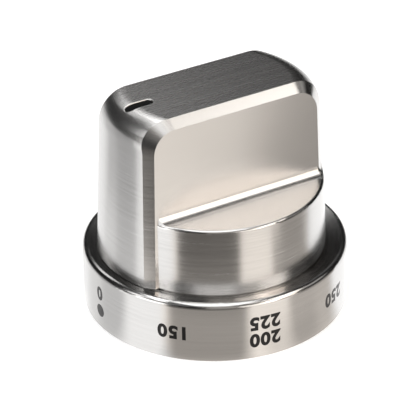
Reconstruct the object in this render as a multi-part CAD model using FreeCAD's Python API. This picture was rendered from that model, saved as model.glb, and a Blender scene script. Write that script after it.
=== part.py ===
import FreeCAD, Part
import math
import os

# Oven selector knob, all sizes in millimetres.
# The knob stands on its skirt: +Z runs along the spindle towards the top of the grip,
# the origin is the centre of the skirt's lower edge, and the pointer end of the grip is at +Y.

# Dial skirt: a pressed stainless cup with a raised outer edge
SKIRT_DIAMETER = 63.5
SKIRT_HEIGHT = 15.2
SKIRT_METAL = 1.2
SKIRT_EDGE_RADIUS = 1.3
LEDGE_WIDTH = 5.2
LEDGE_DIP = 0.95
SKIRT_RIM_BREAK = 0.2

# Drum: the round lower part of the cast body
DRUM_DRAFT_DEG = 1.65
SHOULDER_HEIGHT = 31.4
DRUM_RIM_RADIUS = 0.7
DRUM_WALL = 2.5
SHOULDER_THICKNESS = 2.6
REGISTER_STEP = 0.85

# Grip: the upright bar on the drum
GRIP_HEIGHT = 55.9
GRIP_BASE_THICKNESS = 26.3
GRIP_DRAFT_DEG = 1.86
POINTER_END_PROJECTION = 1.75
POINTER_END_DRAFT_DEG = 2.7
FAR_END_SETBACK = 0.35
FAR_END_DRAFT_DEG = 1.84
GRIP_CORNER_RADIUS = 6.5
GRIP_CHAMFER = 1.95
GRIP_FOOT_RADIUS = 2.4
GRIP_FOOT_RUN_OUT = 0.4
GRIP_FOOT_BEND = 1.0
GRIP_WALL = 2.8
CAVITY_CORNER_BEVEL = 3.5
WEB_THICKNESS = 1.8
WEB_OFFSET = 8.5
POINTER_CLEARANCE = 0.12

# Pointer slot on the grip's top, at the pointer end
SLOT_WIDTH = 2.5
SLOT_LENGTH = 6.9
SLOT_EDGE_DISTANCE = 5.3
SLOT_EDGE_ROUND = 0.25
SLOT_DEPTH = 1.1
INLAY_RECESS = 0.35

# Hub plate: the moulded carrier that closes the back and grips the spindle
PLATE_THICKNESS = 2.4
PLATE_CLEARANCE = 0.15
PLATE_RIM_WIDTH = 1.6
PLATE_RIM_DEPTH = 3.0
PLATE_RIB_COUNT = 6
PLATE_RIB_THICKNESS = 1.4
COLLAR_THICKNESS = 1.5
COLLAR_RISE = 3.0
COLLAR_CLEARANCE = 0.1
HUB_DIAMETER = 14.4
HUB_NOSE_HEIGHT = 3.0
HUB_CAP_THICKNESS = 1.6
SPINDLE_DIAMETER = 6.0
SPINDLE_CLEARANCE = 0.05
SPINDLE_FLAT_TO_BACK = 4.6
SPINDLE_DEPTH = 15.5
SPINDLE_FLAT_LENGTH = 9.5
SOCKET_RELIEF = 0.2
SOCKET_LEAD = 0.3
BORE_LEAD_IN = 0.8
HUB_SPLIT_WIDTH = 1.0
HUB_SPLIT_DEPTH = 4.6

# Spring ring around the split nose of the hub
CLIP_THICKNESS = 0.6
CLIP_HEIGHT = 3.0
CLIP_NOSE_OFFSET = 1.2
CLIP_GAP_DEG = 40.0
CLIP_END_PLAY = 0.1

# Screws that hold the plate and skirt to the body
SCREW_EDGE_DISTANCE = 5.95
SCREW_LAND = 3.6
SCREW_ANGLE_DEG = 35.0
SCREW_SHANK_DIAMETER = 2.5
SCREW_LENGTH = 12.0
SCREW_HEAD_DIAMETER = 5.6
SCREW_HEAD_HEIGHT = 2.0
SCREW_DRIVE_WIDTH = 0.8
SCREW_DRIVE_LENGTH = 3.2
SCREW_DRIVE_DEPTH = 1.1
SCREW_HOLE_CLEARANCE = 0.25
PILOT_END_GAP = 1.5
BOSS_DIAMETER = 7.4

OVERCUT = 1.0
TOLERANCE = 0.01

SKIRT_RADIUS = SKIRT_DIAMETER / 2
CREST_RADIUS = SKIRT_RADIUS - SKIRT_EDGE_RADIUS
LEDGE_HEIGHT = SKIRT_HEIGHT - LEDGE_DIP
DRUM_RADIUS = SKIRT_RADIUS - LEDGE_WIDTH
POINTER_END_RADIUS = DRUM_RADIUS + POINTER_END_PROJECTION
FAR_END_RADIUS = DRUM_RADIUS - FAR_END_SETBACK
SLOT_OUTER_END = POINTER_END_RADIUS - SLOT_EDGE_DISTANCE
SLOT_INNER_END = SLOT_OUTER_END - SLOT_LENGTH
SCREW_CIRCLE_RADIUS = DRUM_RADIUS - SCREW_EDGE_DISTANCE
OPENING_RADIUS = SCREW_CIRCLE_RADIUS - SCREW_LAND
UP = FreeCAD.Vector(0, 0, 1)
ORIGIN = FreeCAD.Vector(0, 0, 0)


def ledge_height(radius):
    """Height of the dished ledge, which rises evenly from the drum to the skirt's outer edge."""
    share = (radius - DRUM_RADIUS) / (CREST_RADIUS - DRUM_RADIUS)
    return LEDGE_HEIGHT + share * (SKIRT_HEIGHT - LEDGE_HEIGHT)


BODY_BASE = ledge_height(POINTER_END_RADIUS) + POINTER_CLEARANCE
FLANGE_UNDERSIDE = LEDGE_HEIGHT - SKIRT_METAL
PLATE_UNDERSIDE = FLANGE_UNDERSIDE - PLATE_THICKNESS
BORE_RADIUS = SPINDLE_DIAMETER / 2 + SPINDLE_CLEARANCE


def point(radius, height):
    """A point of a profile that is turned about the spindle's axis."""
    return FreeCAD.Vector(radius, 0, height)


def turned(edges, angle=360.0):
    """The solid that a closed profile sweeps about the spindle's axis."""
    face = Part.Face(Part.Wire(edges))
    return face.revolve(ORIGIN, UP, angle)


def lines(*points):
    """Straight edges through the points in turn."""
    return [Part.LineSegment(a, b).toShape() for a, b in zip(points, points[1:])]


def quarter_arc(start, centre, radius, end):
    """The rounding between two edges that meet square, bulging away from its centre."""
    middle_direction = (start - centre) + (end - centre)
    middle = centre + middle_direction.normalize() * radius
    return Part.Arc(start, middle, end).toShape()


def drafted_cone(base_radius, draft_deg, bottom, top):
    """A cone that narrows upwards by its draft, with its radius given at the body's base."""
    slope = math.tan(math.radians(draft_deg))
    lower = base_radius - (bottom - BODY_BASE) * slope
    upper = base_radius - (top - BODY_BASE) * slope
    return Part.makeCone(lower, upper, top - bottom, FreeCAD.Vector(0, 0, bottom), UP)


def cylinder(radius, bottom, top, x=0.0, y=0.0):
    return Part.makeCylinder(radius, top - bottom, FreeCAD.Vector(x, y, bottom), UP)


def centred_box(size_x, size_y, bottom, top, x=0.0, y=0.0):
    corner = FreeCAD.Vector(x - size_x / 2, y - size_y / 2, bottom)
    return Part.makeBox(size_x, size_y, top - bottom, corner)


def screw_places():
    """Centres of the four screws, two on each side of the grip."""
    places = []
    for side in (0.0, 180.0):
        for turn in (-SCREW_ANGLE_DEG, SCREW_ANGLE_DEG):
            angle = math.radians(side + turn)
            places.append((SCREW_CIRCLE_RADIUS * math.cos(angle), SCREW_CIRCLE_RADIUS * math.sin(angle)))
    return places


def screw_holes(bottom, top):
    """Clearance holes for the four screws."""
    radius = SCREW_SHANK_DIAMETER / 2 + SCREW_HOLE_CLEARANCE
    return [cylinder(radius, bottom - OVERCUT, top + OVERCUT, x, y) for x, y in screw_places()]


def dial_skirt():
    """The skirt's section: outer wall, rounded edge, dished ledge and flat inner flange."""
    inner_wall = SKIRT_RADIUS - SKIRT_METAL
    arc_start = point(SKIRT_RADIUS, SKIRT_HEIGHT - SKIRT_EDGE_RADIUS)
    crest = point(CREST_RADIUS, SKIRT_HEIGHT)
    under_crest = point(inner_wall, SKIRT_HEIGHT - SKIRT_METAL)
    outline = lines(
        point(SKIRT_RADIUS - SKIRT_RIM_BREAK, 0),
        point(SKIRT_RADIUS, SKIRT_RIM_BREAK),
        arc_start,
    )
    arc_centre = point(CREST_RADIUS, SKIRT_HEIGHT - SKIRT_EDGE_RADIUS)
    outline.append(quarter_arc(arc_start, arc_centre, SKIRT_EDGE_RADIUS, crest))
    outline += lines(
        crest,
        point(DRUM_RADIUS, LEDGE_HEIGHT),
        point(OPENING_RADIUS, LEDGE_HEIGHT),
        point(OPENING_RADIUS, FLANGE_UNDERSIDE),
        point(DRUM_RADIUS, FLANGE_UNDERSIDE),
        under_crest,
        point(inner_wall, 0),
        point(SKIRT_RADIUS - SKIRT_RIM_BREAK, 0),
    )
    return turned(outline).cut(screw_holes(FLANGE_UNDERSIDE, LEDGE_HEIGHT))


def drum():
    """The drum's outer form, with a stepped-in register that seats on the skirt's flange."""
    slope = math.tan(math.radians(DRUM_DRAFT_DEG))
    rim_start = SHOULDER_HEIGHT - DRUM_RIM_RADIUS
    rim_radius = DRUM_RADIUS - (rim_start - BODY_BASE) * slope
    register = DRUM_RADIUS - REGISTER_STEP
    arc_start = point(rim_radius, rim_start)
    arc_centre = point(rim_radius - DRUM_RIM_RADIUS, rim_start)
    arc_end = point(rim_radius - DRUM_RIM_RADIUS, SHOULDER_HEIGHT)
    outline = lines(
        point(0, LEDGE_HEIGHT),
        point(register, LEDGE_HEIGHT),
        point(register, BODY_BASE),
        point(DRUM_RADIUS, BODY_BASE),
        arc_start,
    )
    outline.append(quarter_arc(arc_start, arc_centre, DRUM_RIM_RADIUS, arc_end))
    outline += lines(arc_end, point(0, SHOULDER_HEIGHT), point(0, LEDGE_HEIGHT))
    return turned(outline)


def grip_half_thickness(height, inset=0.0):
    """Half the grip's thickness at a height, from the draft of its two broad faces."""
    slope = math.tan(math.radians(GRIP_DRAFT_DEG))
    return GRIP_BASE_THICKNESS / 2 - (height - BODY_BASE) * slope - inset


def end_radius(height, base_radius, draft_deg):
    """Radius of one of the grip's curved ends at a height."""
    return base_radius - (height - BODY_BASE) * math.tan(math.radians(draft_deg))


def grip_blank(inset):
    """The grip before its edges are worked, set in all round: two drafted faces, two curved ends."""
    top = GRIP_HEIGHT - inset
    wide = grip_half_thickness(BODY_BASE, inset)
    narrow = grip_half_thickness(top, inset)
    reach = 2 * POINTER_END_RADIUS
    section = lines(
        FreeCAD.Vector(-wide, -reach, BODY_BASE),
        FreeCAD.Vector(wide, -reach, BODY_BASE),
        FreeCAD.Vector(narrow, -reach, top),
        FreeCAD.Vector(-narrow, -reach, top),
        FreeCAD.Vector(-wide, -reach, BODY_BASE),
    )
    slab = Part.Face(Part.Wire(section)).extrude(FreeCAD.Vector(0, 2 * reach, 0))
    pointer_end = drafted_cone(POINTER_END_RADIUS - inset, POINTER_END_DRAFT_DEG, BODY_BASE, top)
    far_end = drafted_cone(FAR_END_RADIUS - inset, FAR_END_DRAFT_DEG, BODY_BASE, top)
    far_waste = centred_box(2 * reach, reach, BODY_BASE, top, y=-reach / 2).cut(far_end)
    return slab.common(pointer_end).cut(far_waste)


def top_end_arcs(blank):
    """The two curved edges where the ends meet the top."""
    box = blank.BoundBox
    level = [e for e in blank.Edges if e.BoundBox.ZMin > box.ZMax - TOLERANCE]
    return [e for e in level if e.BoundBox.XLength > e.BoundBox.YLength]


def rounded_grip(inset=0.0):
    """The grip with its ends rolled over into the top, set in evenly by a depth."""
    blank = grip_blank(inset)
    return blank.makeFillet(GRIP_CORNER_RADIUS - inset, top_end_arcs(blank))


def rounded_corner(before, corner, after, radius):
    """The arc that rounds a corner between two straight runs."""
    back = (before - corner).normalize()
    onward = (after - corner).normalize()
    half_angle = back.getAngle(onward) / 2
    bisector = (back + onward).normalize()
    centre = corner + bisector * (radius / math.sin(half_angle))
    tangent = radius / math.tan(half_angle)
    return Part.Arc(corner + back * tangent, centre - bisector * radius, corner + onward * tangent).toShape()


def broad_face_outline(spread):
    """The outline of a broad face, grown by a spread and sunk below the face by as much."""
    slope = math.radians(GRIP_DRAFT_DEG)
    outward = FreeCAD.Vector(math.cos(slope), 0, math.sin(slope))

    def on_face(y, height):
        return FreeCAD.Vector(grip_half_thickness(height), y, height) - outward * spread

    def end_y(height, base_radius, draft_deg):
        outer_edge = grip_half_thickness(height, GRIP_CHAMFER)
        radius = end_radius(height, base_radius, draft_deg)
        return math.sqrt(radius ** 2 - outer_edge ** 2) - GRIP_CHAMFER + spread

    low = BODY_BASE - OVERCUT - spread
    high = GRIP_HEIGHT - GRIP_CHAMFER + spread
    radius = GRIP_CORNER_RADIUS - GRIP_CHAMFER / 2 + spread
    corners = [
        on_face(end_y(low, POINTER_END_RADIUS, POINTER_END_DRAFT_DEG), low),
        on_face(end_y(high, POINTER_END_RADIUS, POINTER_END_DRAFT_DEG), high),
        on_face(-end_y(high, FAR_END_RADIUS, FAR_END_DRAFT_DEG), high),
        on_face(-end_y(low, FAR_END_RADIUS, FAR_END_DRAFT_DEG), low),
    ]
    first = rounded_corner(corners[0], corners[1], corners[2], radius)
    second = rounded_corner(corners[1], corners[2], corners[3], radius)
    first_start, first_end = [v.Point for v in first.Vertexes]
    second_start, second_end = [v.Point for v in second.Vertexes]
    runs = [
        Part.LineSegment(corners[0], first_start).toShape(),
        first,
        Part.LineSegment(first_end, second_start).toShape(),
        second,
        Part.LineSegment(second_end, corners[3]).toShape(),
        Part.LineSegment(corners[3], corners[0]).toShape(),
    ]
    return Part.Wire(runs)


def chamfer_waste():
    """What the chamfer takes off one side: the metal outside a solid that widens at 45 degrees."""
    depth = 3 * GRIP_CHAMFER
    rise = GRIP_CHAMFER
    kept = Part.makeLoft([broad_face_outline(depth), broad_face_outline(-rise)], True, True)
    reach = 2 * POINTER_END_RADIUS
    floor = grip_half_thickness(GRIP_HEIGHT) - depth + GRIP_CHAMFER
    block = Part.makeBox(reach, 2 * reach, GRIP_HEIGHT, FreeCAD.Vector(floor, -reach, BODY_BASE))
    return block.cut(kept)


def grip():
    """The finished grip: one flat 45-degree chamfer runs up, round and along each broad face."""
    waste = chamfer_waste()
    return rounded_grip().cut([waste, waste.mirror(ORIGIN, FreeCAD.Vector(1, 0, 0))])


def foot_path(height):
    """The way of the foot fillet in plan: along the broad face, then round onto the far chamfer."""
    face = grip_half_thickness(height)
    outer_edge = grip_half_thickness(height, GRIP_CHAMFER)
    far_radius = end_radius(height, FAR_END_RADIUS, FAR_END_DRAFT_DEG)
    face_end = math.sqrt(far_radius ** 2 - outer_edge ** 2) - GRIP_CHAMFER
    start = FreeCAD.Vector(face, DRUM_RADIUS, height)
    corner = FreeCAD.Vector(face, -face_end, height)
    finish = corner + FreeCAD.Vector(-GRIP_CHAMFER, -GRIP_CHAMFER, 0)
    turn = rounded_corner(start, corner, finish, GRIP_FOOT_BEND)
    turn_start, turn_end = [v.Point for v in turn.Vertexes]
    runs = [Part.LineSegment(start, turn_start).toShape(), turn]
    runs.append(Part.LineSegment(turn_end, finish).toShape())
    return Part.Wire(runs)


def grip_feet():
    """Hollow fillets where the grip stands on the drum's shoulder, run out onto the drum's rim."""
    slope = math.tan(math.radians(DRUM_DRAFT_DEG))
    flat_radius = DRUM_RADIUS - (SHOULDER_HEIGHT - BODY_BASE) * slope - DRUM_RIM_RADIUS
    upper = SHOULDER_HEIGHT + GRIP_FOOT_RADIUS
    below = SHOULDER_HEIGHT - DRUM_RIM_RADIUS
    path = foot_path(upper)
    high = FreeCAD.Vector(grip_half_thickness(upper), DRUM_RADIUS, upper)
    low = high + FreeCAD.Vector(GRIP_FOOT_RADIUS, 0, -GRIP_FOOT_RADIUS)
    centre = FreeCAD.Vector(low.x, low.y, upper)
    middle = centre + FreeCAD.Vector(-1, 0, -1).normalize() * GRIP_FOOT_RADIUS
    inner = high.x - GRIP_FOOT_BEND / 2
    section = [Part.Arc(high, middle, low).toShape()]
    section += lines(
        low,
        FreeCAD.Vector(low.x, low.y, below),
        FreeCAD.Vector(inner, low.y, below),
        FreeCAD.Vector(inner, low.y, upper),
        high,
    )
    foot = path.makePipeShell([Part.Wire(section)], True, False)
    foot = foot.common(cylinder(flat_radius + GRIP_FOOT_RUN_OUT, below, upper))
    return [foot, foot.mirror(ORIGIN, FreeCAD.Vector(1, 0, 0))]


def slot_prism(widen=0.0):
    """An upright prism with the slot's round-ended plan, on the grip's centre line."""
    radius = SLOT_WIDTH / 2 + widen
    near = SLOT_INNER_END + SLOT_WIDTH / 2
    far = SLOT_OUTER_END - SLOT_WIDTH / 2
    bottom = SHOULDER_HEIGHT
    top = GRIP_HEIGHT + OVERCUT
    middle = centred_box(2 * radius, far - near, bottom, top, y=(near + far) / 2)
    ends = [cylinder(radius, bottom, top, 0, near), cylinder(radius, bottom, top, 0, far)]
    return middle.fuse(ends).removeSplitter()


def body_cavity():
    """The hollow inside the casting: the drum's, the grip's, and what stays as webs and bosses."""
    roof = SHOULDER_HEIGHT - SHOULDER_THICKNESS
    hollow = drafted_cone(DRUM_RADIUS - DRUM_WALL - REGISTER_STEP, DRUM_DRAFT_DEG, LEDGE_HEIGHT, roof)
    inside = grip_blank(GRIP_WALL)
    inside = inside.makeChamfer(CAVITY_CORNER_BEVEL, top_end_arcs(inside))
    hollow = hollow.fuse(inside.common(grip_room()))
    for side in (-1, 1):
        web = centred_box(GRIP_BASE_THICKNESS, WEB_THICKNESS, roof, GRIP_HEIGHT, y=side * WEB_OFFSET)
        hollow = hollow.cut(web)
    bosses = [cylinder(BOSS_DIAMETER / 2, LEDGE_HEIGHT, roof, x, y) for x, y in screw_places()]
    return hollow.cut(bosses)


def grip_room():
    """Where the grip's hollow may lie: inside the drum's wall below the shoulder, free above it."""
    below = drafted_cone(DRUM_RADIUS - DRUM_WALL - REGISTER_STEP, DRUM_DRAFT_DEG, BODY_BASE, SHOULDER_HEIGHT)
    reach = 2 * POINTER_END_RADIUS
    above = centred_box(reach, reach, SHOULDER_HEIGHT, GRIP_HEIGHT)
    return below.fuse(above)


def pilot_holes():
    """Blind holes in the bosses, a little deeper than the screws reach."""
    top = PLATE_UNDERSIDE + SCREW_LENGTH + PILOT_END_GAP
    radius = SCREW_SHANK_DIAMETER / 2
    return [cylinder(radius, LEDGE_HEIGHT - OVERCUT, top, x, y) for x, y in screw_places()]


def slot_mouth(body):
    """The edges where the slot's wall meets the grip's outside: all lie above half its depth."""
    around = slot_prism(SLOT_EDGE_ROUND)
    half_way = rounded_grip(SLOT_DEPTH / 2)

    def on_mouth(point):
        return around.isInside(point, 0.0, True) and not half_way.isInside(point, 0.0, True)

    return [edge for edge in body.Edges if all(on_mouth(vertex.Point) for vertex in edge.Vertexes)]


def knob_body():
    """The one-piece cast body: drum, grip and its foot outside, hollow inside, slot on top."""
    body = drum().fuse([grip()] + grip_feet()).removeSplitter()
    body = body.cut(body_cavity())
    body = body.cut(pilot_holes())
    slot = slot_prism().cut(rounded_grip(SLOT_DEPTH))
    body = body.cut(slot)
    return body.makeFillet(SLOT_EDGE_ROUND, slot_mouth(body))


def pointer_inlay():
    """The dark fill of the slot, a little below the metal and as curved as the grip's corner."""
    return slot_prism().common(rounded_grip(INLAY_RECESS)).cut(rounded_grip(SLOT_DEPTH))


def spindle_bore():
    """A blind bore: a tapered mouth, a round stretch that the nose grips, then a D for the flat."""
    bottom = HUB_NOSE_HEIGHT
    top = bottom + SPINDLE_DEPTH
    flat_side = 2 * SPINDLE_DIAMETER
    flat_at = SPINDLE_FLAT_TO_BACK - SPINDLE_DIAMETER / 2 + SPINDLE_CLEARANCE
    flat_start = top - SPINDLE_FLAT_LENGTH
    socket = cylinder(BORE_RADIUS + SOCKET_RELIEF, flat_start - SOCKET_LEAD, top)
    beyond_flat = centred_box(flat_side, flat_side, flat_start, top, y=flat_at + flat_side / 2)
    bore = cylinder(BORE_RADIUS, bottom - OVERCUT, flat_start)
    mouth = Part.makeCone(BORE_RADIUS + BORE_LEAD_IN, BORE_RADIUS, BORE_LEAD_IN,
                          FreeCAD.Vector(0, 0, bottom), UP)
    return socket.cut(beyond_flat).fuse([bore, mouth])


def clip_groove():
    """The groove around the hub's nose that the spring ring sits in."""
    bottom = HUB_NOSE_HEIGHT + CLIP_NOSE_OFFSET
    top = bottom + CLIP_HEIGHT + 2 * CLIP_END_PLAY
    hub_radius = HUB_DIAMETER / 2
    outside = cylinder(hub_radius + OVERCUT, bottom, top)
    return outside.cut(cylinder(hub_radius - CLIP_THICKNESS, bottom, top))


def hub_plate():
    """The moulded plate: disc, rim and ribs, a locating collar, and the split hub with its bore."""
    outer = SKIRT_RADIUS - SKIRT_METAL - PLATE_CLEARANCE
    rim_bottom = PLATE_UNDERSIDE - PLATE_RIM_DEPTH
    hub_radius = HUB_DIAMETER / 2
    hub_top = HUB_NOSE_HEIGHT + SPINDLE_DEPTH + HUB_CAP_THICKNESS
    collar_radius = OPENING_RADIUS - COLLAR_CLEARANCE
    collar_top = FLANGE_UNDERSIDE + COLLAR_RISE
    plate = cylinder(outer, rim_bottom, FLANGE_UNDERSIDE)
    plate = plate.cut(cylinder(outer - PLATE_RIM_WIDTH, rim_bottom, PLATE_UNDERSIDE))
    collar = cylinder(collar_radius, FLANGE_UNDERSIDE, collar_top)
    collar = collar.cut(cylinder(collar_radius - COLLAR_THICKNESS, FLANGE_UNDERSIDE, collar_top))
    ribs = []
    for index in range(PLATE_RIB_COUNT):
        rib = Part.makeBox(outer - PLATE_RIM_WIDTH / 2, PLATE_RIB_THICKNESS, PLATE_RIM_DEPTH,
                           FreeCAD.Vector(0, -PLATE_RIB_THICKNESS / 2, rim_bottom))
        rib.rotate(ORIGIN, UP, index * 360.0 / PLATE_RIB_COUNT)
        ribs.append(rib)
    hub = cylinder(hub_radius, HUB_NOSE_HEIGHT, hub_top)
    plate = plate.fuse([collar, hub] + ribs).removeSplitter()
    split = centred_box(2 * HUB_DIAMETER, HUB_SPLIT_WIDTH, HUB_NOSE_HEIGHT, HUB_NOSE_HEIGHT + HUB_SPLIT_DEPTH)
    plate = plate.cut([spindle_bore(), clip_groove(), split])
    return plate.cut(screw_holes(PLATE_UNDERSIDE, FLANGE_UNDERSIDE))


def spindle_clip():
    """The open spring ring that squeezes the split hub onto the spindle."""
    inner = HUB_DIAMETER / 2 - CLIP_THICKNESS
    outer = HUB_DIAMETER / 2
    bottom = HUB_NOSE_HEIGHT + CLIP_NOSE_OFFSET + CLIP_END_PLAY
    top = bottom + CLIP_HEIGHT
    section = lines(point(inner, bottom), point(outer, bottom), point(outer, top), point(inner, top),
                    point(inner, bottom))
    clip = turned(section, 360.0 - CLIP_GAP_DEG)
    clip.rotate(ORIGIN, UP, CLIP_GAP_DEG / 2 - 90.0)
    return clip


def fixing_screw(x, y):
    """One pan-head screw with a cross drive, its head against the plate's underside."""
    head_bottom = PLATE_UNDERSIDE - SCREW_HEAD_HEIGHT
    head = cylinder(SCREW_HEAD_DIAMETER / 2, head_bottom, PLATE_UNDERSIDE, x, y)
    rim = [e for e in head.Edges if e.BoundBox.ZMax < head_bottom + TOLERANCE]
    head = head.makeFillet(SCREW_HEAD_HEIGHT / 2, rim)
    shank = cylinder(SCREW_SHANK_DIAMETER / 2, PLATE_UNDERSIDE, PLATE_UNDERSIDE + SCREW_LENGTH, x, y)
    drive_top = head_bottom + SCREW_DRIVE_DEPTH
    drive = centred_box(SCREW_DRIVE_LENGTH, SCREW_DRIVE_WIDTH, head_bottom, drive_top, x, y)
    drive = drive.fuse(centred_box(SCREW_DRIVE_WIDTH, SCREW_DRIVE_LENGTH, head_bottom, drive_top, x, y))
    return head.fuse(shank).removeSplitter().cut(drive)


def fixing_screws():
    return Part.Compound([fixing_screw(x, y) for x, y in screw_places()])


def main():
    os.makedirs("parts", exist_ok=True)
    pieces = {
        "knob_body": knob_body(),
        "pointer_inlay": pointer_inlay(),
        "dial_skirt": dial_skirt(),
        "hub_plate": hub_plate(),
        "spindle_clip": spindle_clip(),
        "fixing_screws": fixing_screws(),
    }
    for name, shape in pieces.items():
        shape.exportStep(os.path.join("parts", name + ".step"))
        print(name, len(shape.Solids), "solid", round(shape.Volume, 1), "mm3", shape.isValid())


main()
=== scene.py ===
"""An oven selector knob: its brushed finishes, printed scale, studio and camera, in metres."""

import math

import bmesh
import bpy
import numpy as np
from mathutils import Matrix, Vector


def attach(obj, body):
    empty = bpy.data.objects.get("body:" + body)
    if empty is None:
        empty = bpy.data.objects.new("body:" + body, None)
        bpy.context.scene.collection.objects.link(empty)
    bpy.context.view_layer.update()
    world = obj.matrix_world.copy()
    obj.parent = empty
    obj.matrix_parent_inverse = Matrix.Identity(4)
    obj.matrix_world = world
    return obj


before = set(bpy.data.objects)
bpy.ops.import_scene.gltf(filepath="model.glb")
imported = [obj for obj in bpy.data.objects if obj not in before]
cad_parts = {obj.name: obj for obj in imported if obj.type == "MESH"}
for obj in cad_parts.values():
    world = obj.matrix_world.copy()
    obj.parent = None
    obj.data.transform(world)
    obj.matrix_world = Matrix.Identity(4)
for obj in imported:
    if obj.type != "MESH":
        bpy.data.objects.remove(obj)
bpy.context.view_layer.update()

# The knob's own sizes
SKIRT_RADIUS = 0.03175
SHOULDER_HEIGHT = 0.0314
GRIP_HALF_THICKNESS = 0.0133
CLEAR_ABOVE = 0.0002
FOOT_RISE = 0.003

# The printed scale: its pitch round the skirt, and each place's lines with their height
PLACE_PITCH_DEG = 40.0
FIRST_PLACE_DEG = 90.0
DIGIT_HEIGHT = 0.0037
DIGIT_BOLD = 0.045
DIGIT_SPACING = 1.12
DIGIT_ROUNDING = 6
LINE_PITCH = 0.0045
INK_LIFT = 0.000006
INK_SLICE = 0.0004
DOT_RADIUS = 0.0016
DOT_HEIGHT = 0.0047
DOT_SIDES = 48
SCALE_LINES = [
    (("0",), 0.0094),
    (("150",), 0.0072),
    (("200", "225"), 0.0070),
    (("250",), 0.0073),
    (("275",), 0.0073),
    (("300",), 0.0073),
    (("325",), 0.0073),
    (("350",), 0.0073),
    (("400",), 0.0073),
]

# The camera: the photograph's viewing angle, distance and framing
VIEW_AZIMUTH_DEG = 148.985
VIEW_ELEVATION_DEG = 29.235
VIEW_ROLL_DEG = -0.836
VIEW_DISTANCE = 0.5408
VIEW_TARGET = (0.0, 0.0, 0.028575)
FOCAL_PIXELS = 2283.94
PICTURE_PIXELS = 415
TARGET_PIXEL = (214.045, 186.434)
SENSOR_MM = 36.0
CLIP_NEAR = 0.01
CLIP_FAR = 20.0

# The brushed stainless finish. Marks are counted per metre along x, y and z, and on the skirt round
# it and across. A slope is how much of the surface's direction points up, or along x on the broad
# faces, from where a finish begins to where it is full.
STEEL = (0.64, 0.63, 0.62, 1)
STEEL_DARKER = (0.56, 0.55, 0.54, 1)
BODY_ROUGHNESS = 0.24
TOP_ROUGHNESS = 0.27
SKIRT_ROUGHNESS = 0.22
ROUGHNESS_SWING = 0.30
TONE_SWING = 4.0
TOP_CONTRAST = 0.30
WALL_CONTRAST = 0.70
SKIRT_CONTRAST = 0.48
SMOOTH_CONTRAST = 0.15
ROLLED_CONTRAST = 0.05
BRUSHING_ANISOTROPY = 0.65
SCRATCH_DEPTH = 0.0000005
TOP_BANDS = (2200, 8, 8)
TOP_SCRATCHES = (5000, 15, 15)
WALL_BANDS = (35, 35, 1800)
WALL_SCRATCHES = (120, 120, 5500)
SKIRT_BANDS = (1.2, 1800)
SKIRT_SCRATCHES = (4.0, 5500)
BAND_NOISE = {"detail": 2.0, "roughness": 0.5}
SCRATCH_NOISE = {"detail": 3.0, "roughness": 0.7}
TOP_SLOPE = (0.15, 0.5)
ROLLED_SLOPE = (0.06, 0.18)
FLAT_SLOPE = (0.93, 0.995)

# The black enamel in the pointer slot
ENAMEL = (0.003, 0.003, 0.003, 1)
ENAMEL_PALER = (0.006, 0.006, 0.006, 1)
ENAMEL_ROUGHNESS = (0.5, 0.62)
ENAMEL_SPECULAR = 0.06
ENAMEL_PEEL = (1500, 1500, 1500)
ENAMEL_PEEL_DEPTH = 0.00001
ENAMEL_PEEL_STRENGTH = 0.5

# The hub plate's moulded nylon
NYLON = (0.016, 0.016, 0.017, 1)
NYLON_PALER = (0.045, 0.045, 0.048, 1)
NYLON_TONES = (0.3, 0.7)
NYLON_ROUGHNESS = (0.42, 0.66)
NYLON_SPECULAR = 0.45
NYLON_GRAIN = (4200, 4200, 4200)
NYLON_GRAIN_NOISE = {"detail": 4.0, "roughness": 0.7}
NYLON_GRAIN_DEPTH = 0.00006
NYLON_GRAIN_STRENGTH = 0.6
NYLON_FLOW = (160, 160, 160)
NYLON_FLOW_DETAIL = 3.0

# The spindle clip's tempered strip
STRIP_STRAW = (0.33, 0.32, 0.31, 1)
STRIP_BLUE = (0.27, 0.30, 0.38, 1)
STRIP_TONES = (0.35, 0.7)
STRIP_ROUGHNESS = (0.25, 0.5)
STRIP_LINES = (120, 120, 6000)
STRIP_LINE_DETAIL = 3.0
STRIP_LINE_DEPTH = 0.00001
STRIP_TEMPER = (180, 180, 180)

# The screws' zinc plate
ZINC_BLUE = (0.62, 0.64, 0.69, 1)
ZINC_YELLOW = (0.70, 0.67, 0.58, 1)
ZINC_TONES = (0.35, 0.65)
ZINC_ROUGHNESS = (0.18, 0.42)
ZINC_CLOUD = (700, 700, 700)
ZINC_CLOUD_DETAIL = 3.0
ZINC_GRAIN = (6000, 6000, 6000)
ZINC_GRAIN_DEPTH = 0.000008

# The scale's ink
INK = (0.003, 0.003, 0.003, 1)
INK_PALER = (0.006, 0.0055, 0.0055, 1)
INK_ROUGHNESS = (0.12, 0.22)
INK_SPECULAR = 0.22
INK_SHEEN = 0.28
INK_SHEEN_ROUGHNESS = 0.42
INK_MESH_MARKS = (5000, 5000, 5000)
INK_MESH_DEPTH = 0.000002

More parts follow.
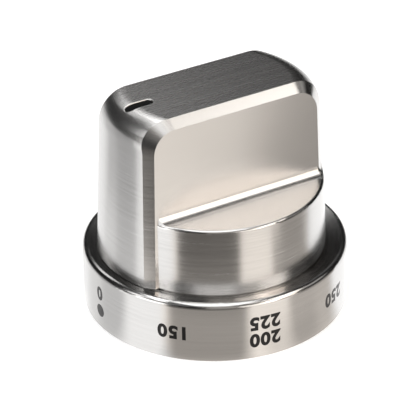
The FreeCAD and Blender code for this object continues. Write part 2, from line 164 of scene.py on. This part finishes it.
# The softboxes: name, azimuth and elevation seen from the knob, width, height, radiance and colour
SOFTBOX_DISTANCE = 0.8
SOFTBOXES = [
    ("left_box", 95.2, 10.3, 0.375, 0.334, 2.85, (1.0, 0.99, 0.97)),
    ("left_back_box", 75.3, 36.7, 0.171, 0.346, 2.00, (1.0, 1.0, 1.0)),
    ("left_up_box", 116.3, 38.2, 0.196, 0.270, 0.22, (1.0, 1.0, 1.0)),
    ("right_box", 203.0, 22.0, 0.400, 0.253, 3.60, (1.0, 0.89, 0.79)),
    ("right_top_box", 219.0, 46.0, 0.330, 0.240, 3.50, (1.0, 0.96, 0.91)),
    ("right_fill_box", 195.0, 56.0, 0.200, 0.160, 1.60, (1.0, 0.96, 0.91)),
    ("right_low_box", 183.9, 10.0, 0.453, 0.400, 1.90, (1.0, 0.94, 0.87)),
    ("right_dim_box", 245.5, 32.5, 0.300, 0.194, 0.60, (1.0, 0.97, 0.94)),
    ("front_box", 153.0, 13.0, 0.317, 1.200, 0.42, (1.0, 0.94, 0.88)),
    ("front_top_box", 149.0, 62.0, 0.400, 0.300, 1.60, (1.0, 1.0, 1.0)),
    ("back_top_box", 30.9, 67.4, 1.300, 0.123, 3.49, (1.0, 1.0, 1.0)),
    ("overhead_box", 331.6, 72.5, 0.420, 0.560, 1.45, (1.0, 1.0, 1.0)),
    ("zenith_box", 149.0, 80.0, 0.500, 0.300, 2.40, (1.0, 1.0, 1.0)),
    ("back_dim_box", 316.0, 45.0, 0.560, 0.340, 0.085, (1.0, 1.0, 1.0)),
    ("back_right_box", 358.0, 43.0, 0.330, 0.130, 1.60, (1.0, 1.0, 1.0)),
]

# The floor. To the metal it glows, a painted reflection, with painted dark sectors round the knob:
# the azimuths of reflection where one starts and ends, the distances from the knob's axis where it
# starts and ends, and how dark it is.
NO_END = 9.0
PAINTED_DARK_REFLECTIONS = [
    (-60.0, 14.0, 0.030, NO_END, 0.13),
    (14.0, 68.0, 0.030, NO_END, 0.25),
    (38.0, 68.0, 0.030, NO_END, 0.22),
    (20.0, 68.0, 0.085, NO_END, 0.30),
    (109.5, 175.0, 0.030, NO_END, 0.60),
    (109.5, 175.0, 0.056, NO_END, 0.52),
    (109.5, 175.0, 0.073, NO_END, 0.50),
    # painted contact shadow of the knob, seen only in the metal's reflection of the floor
    (109.5, 175.0, 0.030, 0.045, 0.12),
    (175.0, 212.0, 0.030, NO_END, 0.03),
    (175.0, 220.0, 0.083, NO_END, 0.16),
    # painted contact shadow of the knob, seen only in the metal's reflection of the floor
    (190.0, 240.0, 0.030, 0.045, 0.20),
    (212.0, 264.0, 0.030, 0.080, 0.45),
    (212.0, 256.0, 0.056, 0.080, 0.48),
    (219.0, 264.0, 0.080, NO_END, 0.72),
]
DARK_REFLECTION_EDGE_RADIUS = 0.029
DARK_REFLECTION_EDGE_BLUR = 0.003
DARK_REFLECTION_BLUR = 0.15
# The sector where the floor's painted reflection in the metal is warm, and its colours
WARM_SECTOR = (105.0, 262.0)
WARM_LIGHT = (1.0, 0.935, 0.865, 1)
WHITE_LIGHT = (1.0, 1.0, 1.0, 1)
PAPER = (0.84, 0.84, 0.84, 1)
PAPER_WHITER = (0.86, 0.86, 0.86, 1)
PAPER_CLOUD = (40, 40, 40)
FLOOR_HALF_SIDE = 4.0
FLOOR_GLOW = 0.40
# How brightly the floor glows to the metal alone: a painted reflection
FLOOR_TO_METAL = 1.40

# The air round it all, which is plain white to the camera
AIR_TO_MATT = 0.15
AIR_TO_METAL = 0.01


class Recipe:
    """A finish written as plain calls, each of which adds nodes and returns their output."""

    def __init__(self, owner, end="ShaderNodeOutputMaterial"):
        owner.use_nodes = True
        self.owner = owner
        self.tree = owner.node_tree
        self.tree.nodes.clear()
        self.surface = self.add(end).inputs["Surface"]

    def add(self, kind, inputs=None, **settings):
        node = self.tree.nodes.new(kind)
        for name, value in settings.items():
            setattr(node, name, value)
        for name, value in (inputs or {}).items():
            self.feed(node.inputs[name], value)
        return node

    def feed(self, socket, value):
        if isinstance(value, bpy.types.NodeSocket):
            self.tree.links.new(value, socket)
        else:
            socket.default_value = value

    def math(self, operation, first, second=0.0, third=0.0, clamp=False):
        inputs = {0: first, 1: second, 2: third}
        return self.add("ShaderNodeMath", inputs, operation=operation, use_clamp=clamp).outputs[0]

    def times(self, first, second):
        return self.math("MULTIPLY", first, second)

    def unsigned(self, value):
        """A number without its sign."""
        return self.math("ABSOLUTE", value)

    def step(self, value, start, end):
        """0 at start, 1 at end, and a smooth change between."""
        inputs = {"Value": value, "From Min": start, "From Max": end}
        return self.add("ShaderNodeMapRange", inputs, interpolation_type="SMOOTHSTEP").outputs[0]

    def parts(self, vector):
        """A vector's x, y and z."""
        return self.add("ShaderNodeSeparateXYZ", {0: vector}).outputs

    def place(self):
        """The object's own coordinates."""
        return self.add("ShaderNodeTexCoord").outputs["Object"]

    def normal(self):
        """The direction that the surface faces."""
        return self.add("ShaderNodeNewGeometry").outputs["Normal"]

    def vector(self, x, y, z):
        return self.add("ShaderNodeCombineXYZ", {0: x, 1: y, 2: z}).outputs[0]

    def length(self, vector):
        return self.add("ShaderNodeVectorMath", {0: vector}, operation="LENGTH").outputs[1]

    def noise(self, vector, detail=2.0, roughness=0.6):
        inputs = {"Vector": vector, "Scale": 1.0, "Detail": detail, "Roughness": roughness}
        return self.add("ShaderNodeTexNoise", inputs).outputs[0]

    def marks(self, place, density, detail=2.0, roughness=0.6):
        """Noise with its own number of marks per metre along x, y and z."""
        inputs = {0: place, 1: density}
        scaled = self.add("ShaderNodeVectorMath", inputs, operation="MULTIPLY").outputs[0]
        return self.noise(scaled, detail, roughness)

    def blend(self, factor, first, second):
        """A mix of two numbers."""
        inputs = {0: factor, 2: first, 3: second}
        return self.add("ShaderNodeMix", inputs, data_type="FLOAT").outputs[0]

    def tint(self, factor, first, second):
        """A mix of two colours."""
        inputs = {0: factor, 6: first, 7: second}
        return self.add("ShaderNodeMix", inputs, data_type="RGBA").outputs[2]

    def turn(self, factor, first, second):
        """A mix of two directions."""
        inputs = {0: factor, 4: first, 5: second}
        return self.add("ShaderNodeMix", inputs, data_type="VECTOR").outputs[1]

    def bump(self, height, distance, strength=1.0):
        inputs = {"Height": height, "Distance": distance, "Strength": strength}
        return self.add("ShaderNodeBump", inputs).outputs[0]

    def mix(self, factor, first, second):
        """A mix of two shaders."""
        return self.add("ShaderNodeMixShader", {0: factor, 1: first, 2: second}).outputs[0]

    def finish(self, inputs):
        """Ends in a Principled shader with these inputs, and returns what owns the nodes."""
        self.feed(self.surface, self.add("ShaderNodeBsdfPrincipled", inputs).outputs[0])
        return self.owner


def recipe_for(name):
    return Recipe(bpy.data.materials.new(name))


def brushed(recipe, wide, bands, scratches, rough, contrast):
    """Brushed metal: its reflections spread along wide, across the grooves that its marks draw."""
    mixed = recipe.blend(0.5, bands, scratches)
    swing = recipe.times(recipe.math("SUBTRACT", mixed, 0.5), contrast)
    tone = recipe.math("MULTIPLY_ADD", swing, TONE_SWING, 0.5, clamp=True)
    return recipe.finish({
        "Base Color": recipe.tint(tone, STEEL_DARKER, STEEL),
        "Metallic": 1.0,
        "Roughness": recipe.math("MULTIPLY_ADD", swing, ROUGHNESS_SWING, rough),
        "Anisotropic": BRUSHING_ANISOTROPY,
        "Tangent": wide,
        "Normal": recipe.bump(recipe.times(scratches, contrast), SCRATCH_DEPTH),
    })


def brushed_body():
    """The casting's finish: brushed along the bar on top, and level all round its walls."""
    recipe = recipe_for("brushed_body_metal")
    place = recipe.place()
    x, y, z = recipe.parts(place)
    facing_x, _, up = recipe.parts(recipe.normal())
    above = recipe.step(z, SHOULDER_HEIGHT - CLEAR_ABOVE, SHOULDER_HEIGHT)
    on_bar = recipe.math("LESS_THAN", recipe.unsigned(x), GRIP_HALF_THICKNESS)
    pointer_end = recipe.times(on_bar, recipe.math("GREATER_THAN", y, 0.0))
    bar = recipe.math("MAXIMUM", above, pointer_end)
    level = recipe.times(bar, recipe.step(up, *TOP_SLOPE))
    bands = recipe.blend(
        level,
        recipe.marks(place, WALL_BANDS, **BAND_NOISE),
        recipe.marks(place, TOP_BANDS, **BAND_NOISE),
    )
    scratches = recipe.blend(
        level,
        recipe.marks(place, WALL_SCRATCHES, **SCRATCH_NOISE),
        recipe.marks(place, TOP_SCRATCHES, **SCRATCH_NOISE),
    )
    wide = recipe.turn(level, (0.0, 0.0, 1.0), (1.0, 0.0, 0.0))
    rough = recipe.blend(level, BODY_ROUGHNESS, TOP_ROUGHNESS)
    high = recipe.step(z, SHOULDER_HEIGHT, SHOULDER_HEIGHT + FOOT_RISE)
    flat_top = recipe.times(high, recipe.step(up, *FLAT_SLOPE))
    broad_face = recipe.times(high, recipe.step(recipe.unsigned(facing_x), *FLAT_SLOPE))
    rolled = recipe.step(up, *ROLLED_SLOPE)
    walls = recipe.blend(rolled, WALL_CONTRAST, ROLLED_CONTRAST)
    walls = recipe.blend(broad_face, walls, SMOOTH_CONTRAST)
    top = recipe.blend(flat_top, ROLLED_CONTRAST, TOP_CONTRAST)
    return brushed(recipe, wide, bands, scratches, rough, recipe.blend(level, walls, top))


def brushed_skirt():
    """The pressed skirt's finish: brushed round its wall, edge and ledge."""
    recipe = recipe_for("brushed_skirt_metal")
    x, y, z = recipe.parts(recipe.place())
    radius = recipe.length(recipe.vector(x, y, 0.0))
    out_x, out_y = recipe.math("DIVIDE", x, radius), recipe.math("DIVIDE", y, radius)
    across = recipe.math("ADD", z, radius)

    def ring_marks(density, noise):
        around, fineness = density
        turned = recipe.vector(
            recipe.times(out_x, around), recipe.times(out_y, around), recipe.times(across, fineness)
        )
        return recipe.noise(turned, **noise)

    bands = ring_marks(SKIRT_BANDS, BAND_NOISE)
    scratches = ring_marks(SKIRT_SCRATCHES, SCRATCH_NOISE)
    wide = recipe.vector(recipe.times(out_x, -1.0), recipe.times(out_y, -1.0), 1.0)
    return brushed(recipe, wide, bands, scratches, SKIRT_ROUGHNESS, SKIRT_CONTRAST)


def black_enamel():
    """Black fill of the pointer slot: nearly matt, with a slight orange-peel."""
    recipe = recipe_for("black_enamel")
    peel = recipe.marks(recipe.place(), ENAMEL_PEEL)
    return recipe.finish({
        "Base Color": recipe.tint(peel, ENAMEL, ENAMEL_PALER),
        "Roughness": recipe.blend(peel, *ENAMEL_ROUGHNESS),
        "Specular IOR Level": ENAMEL_SPECULAR,
        "Normal": recipe.bump(peel, ENAMEL_PEEL_DEPTH, ENAMEL_PEEL_STRENGTH),
    })


def black_moulding():
    """Moulded glass-filled nylon: spark-eroded grain, with paler flow where the fibres lie."""
    recipe = recipe_for("black_moulding_plastic")
    place = recipe.place()
    grain = recipe.marks(place, NYLON_GRAIN, **NYLON_GRAIN_NOISE)
    flow = recipe.marks(place, NYLON_FLOW, NYLON_FLOW_DETAIL)
    mixed = recipe.math("MULTIPLY_ADD", grain, 0.5, recipe.times(flow, 0.5))
    return recipe.finish({
        "Base Color": recipe.tint(recipe.step(mixed, *NYLON_TONES), NYLON, NYLON_PALER),
        "Roughness": recipe.blend(mixed, *NYLON_ROUGHNESS),
        "Specular IOR Level": NYLON_SPECULAR,
        "Normal": recipe.bump(grain, NYLON_GRAIN_DEPTH, NYLON_GRAIN_STRENGTH),
    })


def spring_steel():
    """Rolled spring strip: dark, a little blue from its temper, with level rolling lines."""
    recipe = recipe_for("tempered_spring_steel")
    place = recipe.place()
    lines = recipe.marks(place, STRIP_LINES, STRIP_LINE_DETAIL)
    temper = recipe.marks(place, STRIP_TEMPER)
    return recipe.finish({
        "Base Color": recipe.tint(recipe.step(temper, *STRIP_TONES), STRIP_STRAW, STRIP_BLUE),
        "Metallic": 1.0,
        "Roughness": recipe.blend(lines, *STRIP_ROUGHNESS),
        "Normal": recipe.bump(lines, STRIP_LINE_DEPTH),
    })


def zinc_plate():
    """Bright zinc plate: faintly blue and yellow by turns, with a fine grain in its gloss."""
    recipe = recipe_for("bright_zinc_plate")
    place = recipe.place()
    cloud = recipe.marks(place, ZINC_CLOUD, ZINC_CLOUD_DETAIL)
    grain = recipe.marks(place, ZINC_GRAIN)
    return recipe.finish({
        "Base Color": recipe.tint(recipe.step(cloud, *ZINC_TONES), ZINC_BLUE, ZINC_YELLOW),
        "Metallic": 1.0,
        "Roughness": recipe.blend(grain, *ZINC_ROUGHNESS),
        "Normal": recipe.bump(grain, ZINC_GRAIN_DEPTH),
    })


def scale_ink():
    """Screen-printed ink: nearly black, unevenly glossy, and greyer where it is seen aslant."""
    recipe = recipe_for("scale_ink")
    mesh_marks = recipe.marks(recipe.place(), INK_MESH_MARKS)
    return recipe.finish({
        "Base Color": recipe.tint(mesh_marks, INK, INK_PALER),
        "Roughness": recipe.blend(mesh_marks, *INK_ROUGHNESS),
        "Specular IOR Level": INK_SPECULAR,
        "Sheen Weight": INK_SHEEN,
        "Sheen Roughness": INK_SHEEN_ROUGHNESS,
        "Normal": recipe.bump(mesh_marks, INK_MESH_DEPTH),
    })


def put(name, data):
    """A new object in the scene, with its data."""
    thing = bpy.data.objects.new(name, data)
    bpy.context.scene.collection.objects.link(thing)
    return thing


def points_of(mesh):
    """A mesh's points, one row each."""
    flat = np.zeros(len(mesh.vertices) * 3)
    mesh.vertices.foreach_get("co", flat)
    return flat.reshape(-1, 3)


def line_mesh(words):
    """One line of digits as a flat mesh, centred on its middle, in units of a digit's height."""
    curve = bpy.data.curves.new("digits", "FONT")
    curve.body = words
    curve.offset = DIGIT_BOLD
    curve.space_character = DIGIT_SPACING
    curve.resolution_u = DIGIT_ROUNDING
    carrier = put("digits", curve)
    bpy.context.view_layer.update()
    mesh = bpy.data.meshes.new_from_object(carrier)
    bpy.data.objects.remove(carrier)
    points = points_of(mesh)
    low, high = points.min(0), points.max(0)
    points = (points - (low + high) / 2) / (high[1] - low[1])
    points[:, 2] = 0.0
    mesh.vertices.foreach_set("co", points.ravel())
    return mesh


def dot_mesh():
    """A filled disc: the angle runs evenly round its edge, and one point closes its middle."""
    angle = np.linspace(0, 2 * np.pi, DOT_SIDES, endpoint=False)
    rim = np.stack([np.cos(angle), np.sin(angle), np.zeros(DOT_SIDES)], 1) * DOT_RADIUS
    points = np.vstack([rim, np.zeros((1, 3))])
    turn = np.arange(DOT_SIDES)
    faces = np.stack([turn, np.roll(turn, -1), np.full(DOT_SIDES, DOT_SIDES)], 1)
    mesh = bpy.data.meshes.new("dot")
    mesh.from_pydata(points.tolist(), [], faces.tolist())
    return mesh


def laid_on_skirt(mesh, place_deg, height):
    """Wraps a flat mesh in metres onto the skirt's wall, with its digits' tops towards the panel.

    Its x runs back round the wall from the place's angle, as an arc of the skirt's radius, and its
    y runs down from the height. It is cut into upright slices first, so that it follows the wall.
    """
    shape = bmesh.new()
    shape.from_mesh(mesh)
    reach = max(abs(v.co.x) for v in shape.verts)
    for cut in np.arange(-reach + INK_SLICE / 2, reach, INK_SLICE):
        everything = shape.verts[:] + shape.edges[:] + shape.faces[:]
        bmesh.ops.bisect_plane(shape, geom=everything, plane_co=(cut, 0, 0), plane_no=(1, 0, 0))
    bmesh.ops.triangulate(shape, faces=shape.faces[:])
    shape.to_mesh(mesh)
    shape.free()
    flat = points_of(mesh)
    angle = math.radians(place_deg) - flat[:, 0] / SKIRT_RADIUS
    radius = SKIRT_RADIUS + INK_LIFT
    wrapped = np.stack([radius * np.cos(angle), radius * np.sin(angle), height - flat[:, 1]], 1)
    mesh.vertices.foreach_set("co", wrapped.ravel())
    return mesh


def printed_scale(ink):
    """The scale's numbers and the dot of its first place, joined as one printed layer."""
    joined = bmesh.new()
    for index, (words, height) in enumerate(SCALE_LINES):
        place_deg = FIRST_PLACE_DEG + index * PLACE_PITCH_DEG
        middle = (len(words) - 1) / 2
        for row, word in enumerate(words):
            mesh = line_mesh(word)
            mesh.transform(Matrix.Scale(DIGIT_HEIGHT, 4))
            joined.from_mesh(laid_on_skirt(mesh, place_deg, height + (row - middle) * LINE_PITCH))
    joined.from_mesh(laid_on_skirt(dot_mesh(), FIRST_PLACE_DEG, DOT_HEIGHT))
    joined.normal_update()
    inward = [f for f in joined.faces if f.normal.xy.dot(f.calc_center_median().xy) < 0]
    bmesh.ops.reverse_faces(joined, faces=inward)
    mesh = bpy.data.meshes.new("printed_scale")
    joined.to_mesh(mesh)
    joined.free()
    mesh.materials.append(ink)
    return put("printed_scale", mesh)


def towards(azimuth_deg, elevation_deg):
    """The direction from the knob at an angle round its axis and an angle above the floor."""
    azimuth, elevation = math.radians(azimuth_deg), math.radians(elevation_deg)
    level = math.cos(elevation)
    return Vector((math.cos(azimuth) * level, math.sin(azimuth) * level, math.sin(elevation)))


def photograph_camera():
    """A camera aimed so that the target lies where it does in the photograph's frame.

    The picture's right and up are first turned by the roll. The aim then leaves the line to the
    target by the pixels from it to the picture's middle, over the focal length in pixels.
    """
    azimuth, roll = math.radians(VIEW_AZIMUTH_DEG), math.radians(VIEW_ROLL_DEG)
    forward = -towards(VIEW_AZIMUTH_DEG, VIEW_ELEVATION_DEG)
    level = Vector((-math.sin(azimuth), math.cos(azimuth), 0.0))
    upright = level.cross(forward)
    right = math.cos(roll) * level + math.sin(roll) * upright
    up = math.cos(roll) * upright - math.sin(roll) * level
    off_right, off_down = ((PICTURE_PIXELS / 2 - at) / FOCAL_PIXELS for at in TARGET_PIXEL)
    aim = (forward + right * off_right - up * off_down).normalized()
    across = (right - aim * right.dot(aim)).normalized()
    upward = across.cross(aim)
    data = bpy.data.cameras.new("photograph")
    data.sensor_width = SENSOR_MM
    data.lens = FOCAL_PIXELS * SENSOR_MM / PICTURE_PIXELS
    data.clip_start, data.clip_end = CLIP_NEAR, CLIP_FAR
    camera = put("photograph", data)
    place = Vector(VIEW_TARGET) - forward * VIEW_DISTANCE
    turned = Matrix((across, upward, -aim)).transposed().to_4x4()
    camera.matrix_world = Matrix.Translation(place) @ turned
    bpy.context.scene.camera = camera


def softbox(name, azimuth_deg, elevation_deg, width, height, radiance, colour):
    """A rectangular lamp that faces the knob, as bright as a white wall times its radiance."""
    data = bpy.data.lights.new(name, "AREA")
    data.shape = "RECTANGLE"
    data.size, data.size_y = width, height
    data.energy = radiance * math.pi * width * height
    data.color = colour
    lamp = put(name, data)
    place = towards(azimuth_deg, elevation_deg) * SOFTBOX_DISTANCE
    lamp.location = place
    lamp.rotation_euler = (-place).to_track_quat("-Z", "Y").to_euler()
    lamp.visible_camera = False


def floor_finish():
    """White paper, which the metal sees as a painted reflection: a glow, warm in one sector, with
    painted dark sectors round the knob.

    A sector lies between two straight edges. Each leaves the knob where a wall mirrors the camera's
    view towards the edge's azimuth, and runs that way, so that it shows as an upright line on the
    round walls.
    """
    recipe = recipe_for("white_floor")
    place = recipe.place()
    x, y, _ = recipe.parts(place)
    radius = recipe.length(place)

    def past(azimuth_deg, side):
        """1 on the side of an edge where azimuths grow, or for a side of -1 where they fall."""
        azimuth = math.radians(azimuth_deg)
        foot = math.radians((azimuth_deg + VIEW_AZIMUTH_DEG) / 2)
        offset = DARK_REFLECTION_EDGE_RADIUS * math.sin(foot - azimuth)
        along_y = recipe.times(y, math.cos(azimuth))
        across = recipe.math("MULTIPLY_ADD", x, -math.sin(azimuth), along_y)
        across = recipe.times(recipe.math("SUBTRACT", across, offset), side)
        return recipe.step(across, -DARK_REFLECTION_EDGE_BLUR, DARK_REFLECTION_EDGE_BLUR)

    def between(first_deg, last_deg):
        return recipe.times(past(first_deg, 1), past(last_deg, -1))

    near, far = 1 - DARK_REFLECTION_BLUR, 1 + DARK_REFLECTION_BLUR
    bright = FLOOR_TO_METAL
    for first_deg, last_deg, start, end, depth in PAINTED_DARK_REFLECTIONS:
        sector = between(first_deg, last_deg)
        started = recipe.step(radius, start * near, start * far)
        unended = recipe.step(radius, end * far, end * near)
        patch = recipe.times(sector, recipe.times(started, unended))
        bright = recipe.times(bright, recipe.math("MULTIPLY_ADD", patch, -depth, 1.0))
    white = recipe.tint(recipe.marks(place, PAPER_CLOUD), PAPER, PAPER_WHITER)
    lit = recipe.add("ShaderNodeBsdfDiffuse", {"Color": white}).outputs[0]
    glow = recipe.add("ShaderNodeEmission", {"Strength": FLOOR_GLOW}).outputs[0]
    to_camera = recipe.add("ShaderNodeAddShader", {0: lit, 1: glow}).outputs[0]
    # What the metal sees of the floor is painted reflection: a glow in place of the lit paper, warm
    # in one sector, with painted dark sectors
    colour = recipe.tint(between(*WARM_SECTOR), WHITE_LIGHT, WARM_LIGHT)
    to_metal = recipe.add("ShaderNodeEmission", {"Color": colour, "Strength": bright}).outputs[0]
    path = recipe.add("ShaderNodeLightPath").outputs
    seen = recipe.mix(path["Is Glossy Ray"], lit, to_metal)
    recipe.feed(recipe.surface, recipe.mix(path["Is Camera Ray"], seen, to_camera))
    return recipe.owner


def studio():
    """A white floor, softboxes round the knob, and air that is white only to the camera."""
    mesh = bpy.data.meshes.new("studio_floor")
    corners = [(-1, -1, 0), (1, -1, 0), (1, 1, 0), (-1, 1, 0)]
    mesh.from_pydata((np.array(corners) * FLOOR_HALF_SIDE).tolist(), [], [(0, 1, 2, 3)])
    mesh.materials.append(floor_finish())
    floor = put("studio_floor", mesh)
    for box in SOFTBOXES:
        softbox(*box)
    air = Recipe(bpy.data.worlds.new("studio_air"), "ShaderNodeOutputWorld")
    path = air.add("ShaderNodeLightPath").outputs
    dim = air.blend(path["Is Glossy Ray"], AIR_TO_MATT, AIR_TO_METAL)
    strength = air.blend(path["Is Camera Ray"], dim, 1.0)
    inputs = {"Color": WHITE_LIGHT, "Strength": strength}
    air.feed(air.surface, air.add("ShaderNodeBackground", inputs).outputs[0])
    bpy.context.scene.world = air.owner


def finish_node(name, material):
    """Gives a node its finish in every material slot."""
    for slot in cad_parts[name].material_slots:
        slot.material = material


finish_node("knob_body", brushed_body())
finish_node("dial_skirt", brushed_skirt())
finish_node("pointer_inlay", black_enamel())
finish_node("hub_plate", black_moulding())
finish_node("spindle_clip", spring_steel())
finish_node("fixing_screws", zinc_plate())

scale = printed_scale(scale_ink())
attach(scale, "root")

photograph_camera()
studio()
bpy.context.scene.view_settings.view_transform = "Standard"
